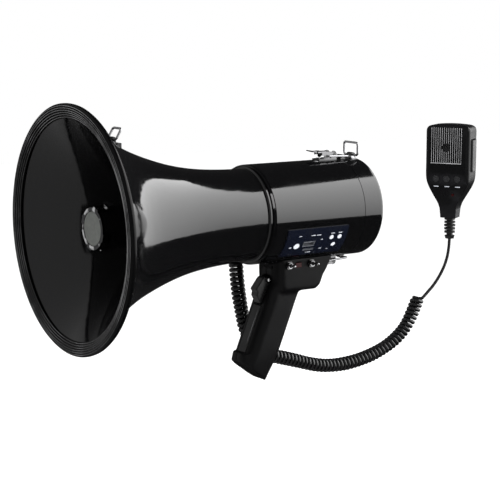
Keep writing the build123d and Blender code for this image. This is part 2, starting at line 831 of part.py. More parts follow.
def mic_screws():
    screws = [along_mic(x, z, 1.05, -6, 9.5) + along_mic(x, z, 2.1, 9.5, 10.8)
              for x, z in mic_screw_places]
    return MIC * group(screws)


def mic_button(x):
    cap = along_mic(x, mic_button_z, mic_button_radius, -mic_depth / 2 - 0.2, -9.5)
    foot = along_mic(x, mic_button_z, mic_button_radius + 1.0, -9.6, -8.6)
    return MIC * (cap + foot)


def mic_lamp():
    x, z = mic_lamp_at
    lamp = along_mic(x, z, 1.55, -11.6, -7) + Pos(x, -11.6, z) * Sphere(1.55)
    return MIC * lamp


def mic_capsule():
    return MIC * along_mic(-1.2, 162, 8, -9.4, -2)


def talk_lever():
    """Push-to-talk bar in the side wall."""
    bar = block(20.6, 26.9, -6.8, 6.8, talk_z0, talk_z1)
    bar = fillet(bar.edges().filter_by(Axis.Z).sort_by(Axis.X)[-2:], 2.0)
    lip = block(19.6, 20.6, -6.8, 6.8, talk_z0 - 0.5, talk_z1 + 0.5)
    return MIC * (bar + lip)


def mic_relief_hole():
    return Cylinder(4.0, 30).moved(Pos(0, 0, mic_bottom_z))


def mic_strain_relief():
    """Ribbed rubber sleeve with a flange at its lower end."""
    sleeve = Pos(0, 0, 74) * Cylinder(3.4, 24.0)
    for i in range(5):
        sleeve += Pos(0, 0, 68.0 + i * 3.6) * Cylinder(6.2 - abs(i - 2) * 0.15, 1.9)
    sleeve += Pos(0, 0, 62.3) * Cone(4.6, 5.6, 3.4)
    head = Pos(0, 0, mic_bottom_z + 2.5) * Cylinder(3.9, 6)
    return MIC * (sleeve + head)


def main():
    os.makedirs("parts", exist_ok=True)
    save("horn_bell", horn_bell())
    save("rim_trim", rim_trim())
    save("driver_housing", driver_housing())
    save("driver_cap", driver_cap())
    save("driver_ring", driver_ring())
    save("driver_magnet", driver_magnet())
    save("driver_diaphragm", driver_diaphragm())
    save("tone_tube", tone_tube())
    save("horn_bulkhead", horn_bulkhead())
    save("front_collar", front_collar())
    save("barrel", barrel())
    save("battery_cover", battery_cover())
    save("cover_gasket", cover_gasket())
    save("control_panel", control_panel())
    for name, x, below, radius in panel_buttons:
        save(f"panel_button_{name}", panel_button(x, below, radius))
    save("media_sockets", media_sockets())
    save("amplifier_board", amplifier_board())
    save("battery_tray", battery_tray())
    save("battery_cells", battery_cells())
    save("battery_contacts", battery_contacts())
    save("latch_bases", group([latch_base(), HALF_TURN * latch_base()]))
    fasteners = [latch_pin()] + latch_rivets()
    save("latch_pins", group(fasteners + [HALF_TURN * piece for piece in fasteners]))
    save("latch_catches", group([latch_catch(), HALF_TURN * latch_catch()]))
    save("latch_lever_top", latch_lever())
    save("latch_lever_bottom", HALF_TURN * latch_lever())
    save("latch_bail_top", latch_bail())
    save("latch_bail_bottom", HALF_TURN * latch_bail())
    save("rear_strap_bracket", rear_strap_bracket())
    save("rear_strap_ring", strap_ring(rear_ring_x, rear_ring_z, 11, 12.5, 0))
    save("front_strap_bracket", front_strap_bracket())
    save("front_strap_ring", strap_ring(front_ring_x, axis_z + front_ring_r, 7.5, 11.5, 30))
    near, far = handle_halves()
    save("handle_near_shell", near)
    save("handle_far_shell", far)
    save("grip_strip", grip_strip())
    save("handle_screws", handle_screws())
    save("trigger", trigger())
    save("trigger_pin", trigger_pin())
    save("trigger_spring", trigger_spring())
    save("trigger_switch", trigger_switch())
    save("toggle_bodies", group([toggle_body(x, z) for x, z in toggle_places]))
    save("toggle_nuts", group([toggle_nut(x, z) for x, z in toggle_places]))
    save("toggle_lever_front", toggle_lever(*toggle_places[0], 0))
    save("toggle_lever_rear", toggle_lever(*toggle_places[1], 12))
    save("indicator_lens", indicator_lens())
    save("cord_gland", cord_gland())
    save("cord_coil", cord_tube("cord_coil", coil_route, coil_diameter))
    save("cord_tail", cord_tube("cord_tail", tail_route, wire_diameter))
    front, back = mic_shells()
    save("mic_front_shell", front)
    save("mic_rear_shell", back)
    save("mic_screws", mic_screws())
    save("mic_capsule", mic_capsule())
    for name, x in zip(("siren", "record", "play"), mic_button_xs):
        save(f"mic_button_{name}", mic_button(x))
    save("mic_lamp", mic_lamp())
    save("mic_talk_lever", talk_lever())
    save("mic_strain_relief", mic_strain_relief())


main()
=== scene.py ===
import json
import math

import bmesh
import bpy
from mathutils import Matrix, Vector
from mathutils.bvhtree import BVHTree


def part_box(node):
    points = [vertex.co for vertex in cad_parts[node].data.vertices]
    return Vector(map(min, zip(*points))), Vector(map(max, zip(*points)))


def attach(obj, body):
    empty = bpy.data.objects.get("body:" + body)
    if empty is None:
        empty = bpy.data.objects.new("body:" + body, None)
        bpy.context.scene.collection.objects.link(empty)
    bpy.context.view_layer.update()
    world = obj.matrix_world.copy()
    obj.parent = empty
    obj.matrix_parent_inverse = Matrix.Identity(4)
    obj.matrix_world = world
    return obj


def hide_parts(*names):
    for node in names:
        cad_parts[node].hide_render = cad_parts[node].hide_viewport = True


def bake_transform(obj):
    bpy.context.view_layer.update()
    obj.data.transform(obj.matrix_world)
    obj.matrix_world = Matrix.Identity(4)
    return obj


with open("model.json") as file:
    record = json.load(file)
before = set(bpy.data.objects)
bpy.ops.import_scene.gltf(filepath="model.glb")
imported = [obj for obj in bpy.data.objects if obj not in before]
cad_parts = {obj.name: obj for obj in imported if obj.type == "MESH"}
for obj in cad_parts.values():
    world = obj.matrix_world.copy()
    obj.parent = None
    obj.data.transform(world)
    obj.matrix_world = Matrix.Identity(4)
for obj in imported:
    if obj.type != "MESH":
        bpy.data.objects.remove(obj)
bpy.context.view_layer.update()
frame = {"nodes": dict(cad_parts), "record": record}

# ---- places taken from the frame, in metres ----
barrel_low, barrel_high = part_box("barrel")
rim_low, rim_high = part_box("rim_trim")
AXIS_Z = (barrel_low.z + barrel_high.z) / 2
RIM_RADIUS = (rim_high.z - rim_low.z) / 2
MOUTH_X = rim_low.x


# ---- small helpers ----
def new_object(name, data):
    thing = bpy.data.objects.new(name, data)
    bpy.context.scene.collection.objects.link(thing)
    return thing


def smooth(mesh):
    mesh.polygons.foreach_set("use_smooth", [True] * len(mesh.polygons))
    mesh.update()


def lerp(a, b, t):
    return a + (b - a) * t


# ---- materials ----
class Paint:
    """A node material built around one Principled shader."""

    def __init__(self, name, color, roughness, metallic=0.0, ior=1.5, **shader):
        self.material = bpy.data.materials.new(name)
        self.material.use_nodes = True
        self.tree = self.material.node_tree
        self.shader = self.tree.nodes["Principled BSDF"]
        self.color = color
        self.roughness = roughness
        self.height = None
        self.shader.inputs["Base Color"].default_value = (*color, 1)
        self.shader.inputs["Roughness"].default_value = roughness
        self.shader.inputs["Metallic"].default_value = metallic
        self.shader.inputs["IOR"].default_value = ior
        for key, value in shader.items():
            self.shader.inputs[key.replace("_", " ")].default_value = value
        self.position = self.node("ShaderNodeTexCoord").outputs["Object"]

    def node(self, kind, **settings):
        made = self.tree.nodes.new(kind)
        for key, value in settings.items():
            setattr(made, key, value)
        return made

    def link(self, start, end):
        self.tree.links.new(start, end)

    def noise(self, scale, detail=3.0, rough=0.5, stretch=(1, 1, 1)):
        """Noise over the object's own coordinates; scale is in cells per metre."""
        mapping = self.node("ShaderNodeMapping")
        mapping.inputs["Scale"].default_value = stretch
        self.link(self.position, mapping.inputs["Vector"])
        made = self.node("ShaderNodeTexNoise")
        made.inputs["Scale"].default_value = scale
        made.inputs["Detail"].default_value = detail
        made.inputs["Roughness"].default_value = rough
        self.link(mapping.outputs["Vector"], made.inputs["Vector"])
        return made.outputs["Fac"]

    def remap(self, value, low, high, to_low, to_high):
        made = self.node("ShaderNodeMapRange")
        for key, number in (("From Min", low), ("From Max", high), ("To Min", to_low), ("To Max", to_high)):
            made.inputs[key].default_value = number
        self.link(value, made.inputs["Value"])
        return made.outputs["Result"]

    def vary_roughness(self, value, low, high, spread):
        """Roughness wanders by spread as value goes from low to high."""
        self.link(self.remap(value, low, high, self.roughness - spread, self.roughness + spread),
                  self.shader.inputs["Roughness"])

    def vary_color(self, value, low, high, other):
        mix = self.node("ShaderNodeMix", data_type="RGBA")
        mix.inputs[6].default_value = (*self.color, 1)
        mix.inputs[7].default_value = (*other, 1)
        self.link(self.remap(value, low, high, 0.0, 1.0), mix.inputs[0])
        self.link(mix.outputs[2], self.shader.inputs["Base Color"])

    def bump(self, value, distance, strength=1.0):
        made = self.node("ShaderNodeBump")
        made.inputs["Strength"].default_value = strength
        made.inputs["Distance"].default_value = distance
        self.link(value, made.inputs["Height"])
        if self.height is not None:
            self.link(self.height, made.inputs["Normal"])
        self.height = made.outputs["Normal"]
        self.link(self.height, self.shader.inputs["Normal"])

    def curvature_tint(self, other, low=0.53, high=0.62):
        """Edges, found from the surface's own curvature, take a second colour."""
        pointiness = self.node("ShaderNodeNewGeometry").outputs["Pointiness"]
        self.vary_color(pointiness, low, high, other)


def gloss_black():
    """Moulded black ABS with a high gloss, faint orange peel and handling marks."""
    paint = Paint("gloss_black_abs", (0.0018, 0.0018, 0.002), 0.085)
    paint.vary_roughness(paint.noise(24, 5, 0.6), 0.35, 0.7, 0.03)
    paint.bump(paint.noise(420, 2), 0.00002, 0.25)
    paint.bump(paint.noise(26, 2), 0.0003, 0.05)
    return paint.material


def satin_trim():
    """Soft satin trim of the mouth."""
    paint = Paint("satin_trim", (0.0012, 0.0012, 0.0013), 0.2, Specular_IOR_Level=0.1)
    paint.vary_roughness(paint.noise(60, 4), 0.3, 0.7, 0.08)
    paint.bump(paint.noise(2400, 2), 0.00004, 0.3)
    return paint.material


def matte_grip():
    """Spark-eroded matte ABS of the handle."""
    paint = Paint("matte_grip", (0.0016, 0.0016, 0.0018), 0.42, Specular_IOR_Level=0.13)
    paint.vary_roughness(paint.noise(45, 4), 0.3, 0.7, 0.07)
    paint.bump(paint.noise(2600, 2, 0.6), 0.00008, 0.55)
    # convex edges painted lighter
    paint.curvature_tint((0.011, 0.011, 0.012))
    return paint.material


def soft_rubber(name="soft_rubber", level=0.005, roughness=0.45):
    paint = Paint(name, (level, level, level * 1.05), roughness, Specular_IOR_Level=0.35)
    paint.vary_roughness(paint.noise(80, 4), 0.3, 0.7, 0.08)
    paint.bump(paint.noise(1800, 3), 0.00005, 0.4)
    return paint.material


def cord_jacket():
    paint = Paint("cord_jacket", (0.0025, 0.0025, 0.0028), 0.24, Specular_IOR_Level=0.42)
    paint.vary_roughness(paint.noise(120, 4), 0.3, 0.7, 0.08)
    paint.bump(paint.noise(1500, 2), 0.00003, 0.3)
    return paint.material


def mic_plastic():
    paint = Paint("mic_plastic", (0.0025, 0.0025, 0.0028), 0.3, Specular_IOR_Level=0.14)
    paint.vary_roughness(paint.noise(60, 4), 0.3, 0.7, 0.06)
    paint.bump(paint.noise(2200, 2), 0.00004, 0.35)
    # convex edges painted lighter
    paint.curvature_tint((0.008, 0.008, 0.009))
    return paint.material


def chrome():
    """Bright plated sheet metal with fine rolling marks."""
    paint = Paint("bright_plate", (0.4, 0.4, 0.41), 0.14, metallic=1.0)
    paint.vary_roughness(paint.noise(300, 3, 0.6, (1, 6, 1)), 0.3, 0.7, 0.06)
    paint.bump(paint.noise(900, 2, 0.5, (1, 8, 1)), 0.00001, 0.15)
    # convex edges painted darker
    paint.curvature_tint((0.06, 0.06, 0.06), 0.54, 0.62)
    return paint.material


def ring_plate():
    """Ring and clips of the driver pod: dark plated metal with bright specks painted in as highlights."""
    paint = Paint("ring_plate", (0.05, 0.05, 0.052), 0.12, metallic=1.0)
    paint.vary_roughness(paint.noise(300, 3), 0.3, 0.7, 0.05)
    # colour noise paints bright highlight specks on the dark metal
    paint.vary_color(paint.noise(90, 2), 0.52, 0.6, (0.85, 0.85, 0.86))
    paint.bump(paint.noise(160, 2), 0.0003, 0.35)
    return paint.material


def plain_steel():
    paint = Paint("plain_steel", (0.5, 0.5, 0.5), 0.3, metallic=1.0)
    paint.vary_roughness(paint.noise(400, 3), 0.3, 0.7, 0.08)
    paint.bump(paint.noise(1200, 2), 0.00002, 0.3)
    return paint.material


def socket_plate():
    paint = Paint("socket_plate", (0.12, 0.125, 0.14), 0.35, metallic=0.3)
    paint.vary_roughness(paint.noise(400, 3), 0.3, 0.7, 0.06)
    paint.bump(paint.noise(1500, 2), 0.00002, 0.2)
    return paint.material


def pod_grey():
    paint = Paint("pod_grey", (0.062, 0.066, 0.061), 0.55)
    paint.vary_roughness(paint.noise(150, 4), 0.3, 0.7, 0.08)
    paint.vary_color(paint.noise(260, 3), 0.35, 0.7, (0.08, 0.085, 0.078))
    paint.bump(paint.noise(2000, 2), 0.00004, 0.4)
    return paint.material


def panel_navy():
    paint = Paint("panel_navy", (0.0026, 0.0037, 0.0088), 0.25, Specular_IOR_Level=0.25)
    paint.vary_roughness(paint.noise(90, 4), 0.3, 0.7, 0.05)
    paint.bump(paint.noise(1600, 2), 0.00002, 0.25)
    return paint.material


def button_white():
    paint = Paint("button_white", (0.5, 0.52, 0.56), 0.35)
    paint.vary_roughness(paint.noise(200, 3), 0.3, 0.7, 0.06)
    paint.bump(paint.noise(1800, 2), 0.00003, 0.3)
    return paint.material


def board_green():
    paint = Paint("board_green", (0.01, 0.09, 0.035), 0.35)
    paint.vary_color(paint.noise(500, 2), 0.45, 0.6, (0.02, 0.13, 0.05))
    return paint.material


def cell_wrap():
    paint = Paint("cell_wrap", (0.08, 0.12, 0.03), 0.3)
    paint.vary_roughness(paint.noise(120, 3), 0.3, 0.7, 0.06)
    return paint.material


def red_lens():
    paint = Paint("red_lens", (0.018, 0.0008, 0.001), 0.2, Specular_IOR_Level=0.15)
    paint.vary_roughness(paint.noise(300, 3), 0.3, 0.7, 0.04)
    return paint.material


SLOT_PAINTS = {
    "horn_gloss": gloss_black(), "rim_rubber": satin_trim(), "pod_grey": pod_grey(),
    "bright_metal": chrome(), "steel": plain_steel(), "panel_navy": panel_navy(),
    "button_white": button_white(), "socket_metal": socket_plate(), "board_green": board_green(),
    "cell_wrap": cell_wrap(), "grip_matte": matte_grip(), "grip_rubber": soft_rubber(),
    "lens_red": red_lens(), "cord_black": cord_jacket(), "mic_black": mic_plastic(),
    "trigger_black": soft_rubber("trigger_satin", 0.004, 0.3),
}
SLOT_PAINTS["body_gloss"] = SLOT_PAINTS["horn_gloss"]
SLOT_PAINTS["inner_black"] = SLOT_PAINTS["grip_rubber"]
SLOT_PAINTS["seal_rubber"] = SLOT_PAINTS["grip_rubber"]


def button_gloss():
    """Polished rubber caps of the microphone's keys."""
    paint = Paint("button_gloss", (0.012, 0.012, 0.013), 0.2, Specular_IOR_Level=0.9)
    paint.vary_roughness(paint.noise(300, 3), 0.3, 0.7, 0.05)
    paint.bump(paint.noise(120, 2), 0.0004, 0.3)
    return paint.material


def print_ink():
    """Worn pad-printed ink."""
    paint = Paint("print_ink", (0.42, 0.44, 0.48), 0.5)
    paint.vary_color(paint.noise(900, 3), 0.5, 0.7, (0.16, 0.17, 0.2))
    paint.bump(paint.noise(2500, 2), 0.00001, 0.3)
    return paint.material


def paint_cad_nodes():
    """Every CAD node takes its slot's material."""
    slots = {row["node"]: row["material_slot"] for row in frame["record"]["subparts"]}
    special = {name: button_gloss() for name in slots if name.startswith("mic_button")}
    special["driver_ring"] = ring_plate()
    for name, thing in frame["nodes"].items():
        paint = special.get(name, SLOT_PAINTS[slots[name]])
        if not thing.material_slots:
            thing.data.materials.append(None)
        for material_slot in thing.material_slots:
            material_slot.link = "OBJECT"
            material_slot.material = paint


paint_cad_nodes()


# ---- cord ----
COIL_DIAMETER = 0.0148
WIRE_DIAMETER = 0.0042
COIL_PITCH = 0.0048
COIL_ROUTE = [
    (-0.0070, 0.042, 0.0660), (-0.0052, 0.042, 0.0380), (0.0000, 0.042, 0.0100),
    (0.0055, 0.042, -0.0140), (0.0260, 0.042, -0.0380), (0.0600, 0.042, -0.0476),
    (0.0960, 0.042, -0.0596), (0.1240, 0.042, -0.0626), (0.1520, 0.042, -0.0606),
    (0.1800, 0.042, -0.0540), (0.2040, 0.042, -0.0424), (0.2210, 0.042, -0.0256),
    (0.2315, 0.042, -0.0024),
]
TAIL_ROUTE = [
    (0.2360, 0.042, -0.0044), (0.2436, 0.042, 0.0016), (0.2570, 0.042, 0.0126),
    (0.2692, 0.042, 0.0290), (0.2754, 0.042, 0.0460), (0.2760, 0.042, 0.0604),
]


def follow(route, steps):
    """Points along the smooth NURBS line of a route."""
    data = bpy.data.curves.new("route", "CURVE")
    data.dimensions = "3D"
    data.resolution_u = steps
    spline = data.splines.new("NURBS")
    spline.points.add(len(route) - 1)
    for point, place in zip(spline.points, route):
        point.co = (*place, 1)
    spline.order_u = 3
    spline.use_endpoint_u = True
    carrier = bpy.data.objects.new("route", data)
    mesh = bpy.data.meshes.new_from_object(carrier)
    points = [v.co.copy() for v in mesh.vertices]
    bpy.data.objects.remove(carrier)
    bpy.data.meshes.remove(mesh)
    return points


def lengths_along(points):
    total = [0.0]
    for a, b in zip(points, points[1:]):
        total.append(total[-1] + (b - a).length)
    return total


def at_length(points, total, s):
    """Place and direction at distance s along a line of points."""
    s = min(max(s, 0.0), total[-1])
    i = 1
    low, high = 0, len(total) - 1
    while high - low > 1:
        i = (low + high) // 2
        if total[i] <= s:
            low = i
        else:
            high = i
    a, b = points[low], points[high]
    span = total[high] - total[low]
    t = (s - total[low]) / span if span else 0.0
    return a.lerp(b, t), (b - a).normalized()


def helix_points(route):
    """Turns wound round a route: radius and roundness wander a little, as a used cord's do."""
    line = follow(route, 24)
    total = lengths_along(line)
    turns = round(total[-1] / COIL_PITCH)
    per_turn = 20
    radius = (COIL_DIAMETER - WIRE_DIAMETER) / 2
    side = Vector((0, 1, 0))
    points = []
    count = turns * per_turn
    for k in range(count + 1):
        s = total[-1] * k / count
        centre, along = at_length(line, total, s)
        across = side - along * side.dot(along)
        across.normalize()
        upward = along.cross(across)
        angle = 2 * math.pi * k / per_turn
        wander = 1 + 0.02 * math.sin(s * 61) + 0.012 * math.sin(s * 173 + 1.1)
        reach = radius * wander
        points.append(centre + (across * math.cos(angle) + upward * math.sin(angle)) * reach)
    return points


def tube_mesh(name, points, radii, sides=10):
    """Round tube along closely spaced points, turned without twist, with capped ends; one radius a point."""
    mesh = bmesh.new()
    normal = Vector((0, 1, 0))
    rings = []
    for i, place in enumerate(points):
        ahead = points[min(i + 1, len(points) - 1)]
        behind = points[max(i - 1, 0)]
        along = (ahead - behind).normalized()
        normal = (normal - along * normal.dot(along)).normalized()
        other = along.cross(normal)
        ring = []
        for k in range(sides):
            a = 2 * math.pi * k / sides
            spoke = normal * math.cos(a) + other * math.sin(a)
            ring.append(mesh.verts.new(place + spoke * radii[i]))
        rings.append(ring)
    for one, two in zip(rings, rings[1:]):
        for k in range(sides):
            mesh.faces.new((one[k], one[(k + 1) % sides], two[(k + 1) % sides], two[k]))
    mesh.faces.new(list(reversed(rings[0])))
    mesh.faces.new(rings[-1])
    bmesh.ops.recalc_face_normals(mesh, faces=mesh.faces)
    data = bpy.data.meshes.new(name)
    mesh.to_mesh(data)
    mesh.free()
    smooth(data)
    return new_object(name, data)


def cord_points():
    """The whole conductor and its radii: out of the gland, round the coil, and up the drawn-out tail."""
    coil = helix_points(COIL_ROUTE)
    tail = follow(TAIL_ROUTE, 16)
    join_from, join_to = coil[-1], tail[4]
    out_dir = (coil[-1] - coil[-2]).normalized()
    in_dir = (tail[5] - tail[4]).normalized()
    reach = (join_to - join_from).length * 0.45
    bridge = []
    for k in range(1, 12):
        t = k / 12
        a, b = join_from + out_dir * reach, join_to - in_dir * reach
        bridge.append((1 - t) ** 3 * join_from + 3 * (1 - t) ** 2 * t * a
                      + 3 * (1 - t) * t ** 2 * b + t ** 3 * join_to)
    thick, thin = WIRE_DIAMETER * 0.51, WIRE_DIAMETER * 0.4
    radii = [thick] * len(coil) + [lerp(thick, thin, (k + 1) / 12) for k in range(len(bridge))]
    return coil + bridge + tail[4:], radii + [thin] * len(tail[4:])


def build_cord():
    points, radii = cord_points()
    cord = tube_mesh("curly_cord", points, radii)
    cord.data.materials.append(SLOT_PAINTS["cord_black"])
    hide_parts("cord_coil", "cord_tail")
    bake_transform(cord)
    return cord


cord = build_cord()


# ---- moulded handle ----
def soften(node, voxel, rounds, fillet_rounds=0, fillet_box=None):
    """Rounded copy of a CAD node: edges take the small radii of a moulding, corners in the box larger ones."""
    source = frame["nodes"][node]
    draft = new_object("draft", source.data.copy())
    remesh = draft.modifiers.new("remesh", "REMESH")
    remesh.mode = "VOXEL"
    remesh.voxel_size = voxel
    even = draft.modifiers.new("even", "SMOOTH")
    even.factor = 0.5
    even.iterations = rounds
    made = bpy.data.meshes.new_from_object(draft.evaluated_get(bpy.context.evaluated_depsgraph_get()))
    bpy.data.objects.remove(draft)
    thing = new_object(node + "_moulded", made)
    if fillet_rounds:
        low, high = fillet_box
        inside = thing.vertex_groups.new(name="fillet")
        for vertex in made.vertices:
            depth = min(min(vertex.co[k] - low[k], high[k] - vertex.co[k]) for k in range(3))
            if depth > 0:
                inside.add([vertex.index], min(1.0, depth / 0.006), "REPLACE")
        web = thing.modifiers.new("web", "SMOOTH")
        web.factor = 0.5
        web.iterations = fillet_rounds
        web.vertex_group = "fillet"
        done = bpy.data.meshes.new_from_object(thing.evaluated_get(bpy.context.evaluated_depsgraph_get()))
        thing.modifiers.clear()
        thing.vertex_groups.clear()
        thing.data = done
    smooth(thing.data)
    thing.data.materials.clear()
    slot = next(row["material_slot"] for row in frame["record"]["subparts"] if row["node"] == node)
    thing.data.materials.append(SLOT_PAINTS[slot])
    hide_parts(node)
    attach(thing, next(body for body, nodes in frame["record"]["behaviour"]["bodies"].items() if node in nodes))
    return thing


HANDLE_WEB = ((-0.006, -0.03, 0.018), (0.075, 0.03, 0.056))
for shell in ("handle_near_shell", "handle_far_shell"):
    soften(shell, 0.0008, 5, 60, HANDLE_WEB)
soften("trigger", 0.0006, 6)
for vertex in bpy.data.objects["trigger_moulded"].data.vertices:
    vertex.co.y *= 0.9
soften("grip_strip", 0.0005, 3)


def strip_highlight_line():
    """Narrow light tube along the near edge of the grip's front strip: a painted highlight line."""
    strip_low, strip_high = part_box("grip_strip")
    shape = frame["nodes"]["grip_strip"].data
    surface = BVHTree.FromPolygons([v.co for v in shape.vertices], [p.vertices for p in shape.polygons])
    y = strip_low.y + 0.0022
    points = []
    for k in range(41):
        z = lerp(strip_low.z + 0.010, strip_high.z - 0.004, k / 40)
        place, _, _, _ = surface.ray_cast(Vector((-0.1, y, z)), Vector((1, 0, 0)))
        if place:
            points.append(place + Vector((0.0001, 0, 0)))
    radii = [0.00050 * math.sin(math.pi * (i + 0.6) / (len(points) + 0.2)) ** 0.4 for i in range(len(points))]
    bead = tube_mesh("strip_highlight_line", points, radii)
    bead.data.materials.append(edge_highlight_paint())
    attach(bead, "root")


def edge_highlight_paint():
    # light grey with strong specular, a painted highlight on the strip's edge
    paint = Paint("edge_highlight_paint", (0.06, 0.06, 0.062), 0.22, Specular_IOR_Level=1.0)
    paint.vary_roughness(paint.noise(300, 3), 0.3, 0.7, 0.08)
    paint.bump(paint.noise(900, 3), 0.00006, 0.4)
    return paint.material


strip_highlight_line()


# ---- ridged rim ----
def lathe(name, profile, slot, body, segments=288):
    """Body of revolution round the horn's axis, from (x, radius) points in order, closed."""
    mesh = bmesh.new()
    rings = []
    for x, r in profile:
        ring = []
        for k in range(segments):
            a = 2 * math.pi * k / segments
            ring.append(mesh.verts.new((x, r * math.cos(a), AXIS_Z + r * math.sin(a))))
        rings.append(ring)
    for one, two in zip(rings, rings[1:] + rings[:1]):
        for k in range(segments):
            mesh.faces.new((one[k], one[(k + 1) % segments], two[(k + 1) % segments], two[k]))
    bmesh.ops.recalc_face_normals(mesh, faces=mesh.faces)
    data = bpy.data.meshes.new(name)
    mesh.to_mesh(data)
    mesh.free()
    smooth(data)
    thing = new_object(name, data)
    data.materials.append(SLOT_PAINTS[slot])
    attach(thing, body)
    return thing


def rim_profile():
    """Front face with six rounded rings and dark grooves, then round the edge to the back of the lip."""
    x0, big = MOUTH_X, RIM_RADIUS
    face = []
    rings, pitch = 6, 0.00205
    for i in range(rings):
        middle = big - 0.0022 - i * pitch
        back = x0 + max(0, i - 2) * 0.0009
        for k in range(9):
            a = math.pi * k / 8
            face.append((back + 0.0009 - 0.0009 * math.sin(a), middle + 0.00078 * math.cos(a)))
        face.append((back + 0.0016, middle - pitch / 2))
    inner = [(x0 + 0.0038, 0.1017), (x0 + 0.0046, 0.1015), (x0 + 0.0034, 0.1052), (x0 + 0.0046, 0.1074),
             (x0 + 0.0061, 0.1084)]
    outer = [(x0 + 0.0068, big - 0.0024), (x0 + 0.0062, big - 0.0012), (x0 + 0.0050, big - 0.0003),
             (x0 + 0.0036, big), (x0 + 0.0020, big), (x0 + 0.0013, big - 0.0005)]
    return face + inner + outer


def crest_highlight_paint():
    """Ring crests painted brighter than their grooves: a painted highlight, broken into brighter and darker
    stretches by colour noise.
    """
    paint = Paint("crest_highlight_paint", (0.075, 0.075, 0.077), 0.22, Specular_IOR_Level=0.9)
    paint.vary_roughness(paint.noise(80, 3), 0.3, 0.7, 0.08)
    paint.vary_color(paint.noise(22, 3), 0.46, 0.6, (0.014, 0.014, 0.0145))
    paint.bump(paint.noise(1600, 2), 0.00003, 0.3)
    return paint.material


rim = lathe("rim_ridged", rim_profile(), "rim_rubber", "root")
rim.data.materials.append(crest_highlight_paint())
# the crest faces of each ring take the painted highlight colour
for face in rim.data.polygons:
    band = face.index // 288
    if band < 60 and band % 10 in (3, 4):
        face.material_index = 1
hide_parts("rim_trim")


# ---- microphone grille and printed marks ----
MIC_PLACE = Matrix.Translation((0.276, 0.042, 0.0)) @ Matrix.Rotation(math.radians(-60), 4, "Z")
MIC_RIB_Y = -0.0137            # back of the ribs, in the microphone's own frame


def bar_mesh(mesh, x, y, z0, z1, half_width, rise, segments=6):
    """Half-round upright bar with rounded ends, added to a bmesh."""
    rings = []
    stops = [z0, z0 + half_width * 0.4, z0 + half_width, z1 - half_width, z1 - half_width * 0.4, z1]
    scales = [0.3, 0.8, 1.0, 1.0, 0.8, 0.3]
    for z, scale in zip(stops, scales):
        ring = []
        for k in range(segments + 1):
            a = math.pi * k / segments
            ring.append(mesh.verts.new((x - half_width * scale * math.cos(a), y - rise * scale * math.sin(a), z)))
        rings.append(ring)
    for one, two in zip(rings, rings[1:]):
        for k in range(segments):
            mesh.faces.new((one[k], one[k + 1], two[k + 1], two[k]))
    for ring in (rings[0], rings[-1]):
        mesh.faces.new(ring)


def finish_mesh(name, mesh, place, paint, body):
    bmesh.ops.recalc_face_normals(mesh, faces=mesh.faces)
    data = bpy.data.meshes.new(name)
    mesh.to_mesh(data)
    mesh.free()
    smooth(data)
    thing = new_object(name, data)
    thing.matrix_world = place
    data.materials.append(paint)
    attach(thing, body)
    return thing


def rib_painted_highlight():
    """Light colour painted on the rib tops and ledge as their highlight."""
    paint = Paint("rib_painted_highlight", (0.22, 0.22, 0.225), 0.3, Specular_IOR_Level=0.6)
    paint.vary_roughness(paint.noise(200, 3), 0.3, 0.7, 0.06)
    paint.vary_color(paint.noise(90, 3), 0.4, 0.65, (0.3, 0.3, 0.31))
    paint.bump(paint.noise(2500, 2), 0.00001, 0.15)
    return paint.material


def mic_ribs(count=15, pitch=0.0024, first=-0.01705):
    """Raised ribs between the grille's slots, parted round the dark sound hole, and the ledge below, all in a
    painted highlight colour.
    """
    mesh = bmesh.new()
    hole_x, hole_z, hole_r = -0.0012, 0.1615, 0.0048
    for i in range(count):
        x = first - 0.00065 + i * pitch
        reach = hole_r ** 2 - (x - hole_x) ** 2
        if reach > 0:
            half = math.sqrt(reach)
            bar_mesh(mesh, x, MIC_RIB_Y, 0.1450, hole_z - half, 0.00027, 0.0007)
            bar_mesh(mesh, x, MIC_RIB_Y, hole_z + half, 0.1832, 0.00027, 0.0007)
        else:
            bar_mesh(mesh, x, MIC_RIB_Y, 0.1450, 0.1832, 0.00027, 0.0007)
    ledge = bmesh.ops.create_cube(mesh, size=1.0)["verts"]
    for vertex in ledge:
        vertex.co = Vector((vertex.co.x * 0.0345 - 0.0012, vertex.co.y * 0.0010 + MIC_RIB_Y - 0.0002,
                            vertex.co.z * 0.0009 + 0.1445))
    finish_mesh("mic_ribs", mesh, MIC_PLACE, rib_painted_highlight(), "microphone")


mic_ribs()


def printed_marks(name, node, rows, body):
    """Thin printed bars laid on a CAD node: each row is (start, towards, along, width, height)."""
    mesh = bmesh.new()
    source = frame["nodes"][node]
    for start, towards, along, width, height in rows:
        found, place, normal, _ = source.ray_cast(start, towards)
        if not found:
            continue
        across = normal.cross(along).normalized()
        lined = across.cross(normal).normalized()
        corners = [(-1, -1), (1, -1), (1, 1), (-1, 1)]
        low, high = ([mesh.verts.new(place + lined * (a * width / 2) + across * (b * height / 2) + normal * lift)
                      for a, b in corners] for lift in (-0.0002, 0.00007))
        mesh.faces.new(high)
        mesh.faces.new(list(reversed(low)))
        for k in range(4):
            mesh.faces.new((low[k], low[(k + 1) % 4], high[(k + 1) % 4], high[k]))
    finish_mesh(name, mesh, Matrix.Identity(4), print_ink(), body)


def panel_row(x, below, width, height):
    """A mark on the control panel, at x and degrees below the horn's axis."""
    a = math.radians(below)
    out = Vector((0, -math.cos(a), -math.sin(a)))
    return Vector((x, 0, AXIS_Z)) + out * 0.06, -out, Vector((1, 0, 0)), width, height


def mic_row(x, z, width, height):
    turned = MIC_PLACE.to_3x3()
    return MIC_PLACE @ Vector((x, -0.03, z)), turned @ Vector((0, 1, 0)), turned @ Vector((1, 0, 0)), width, height


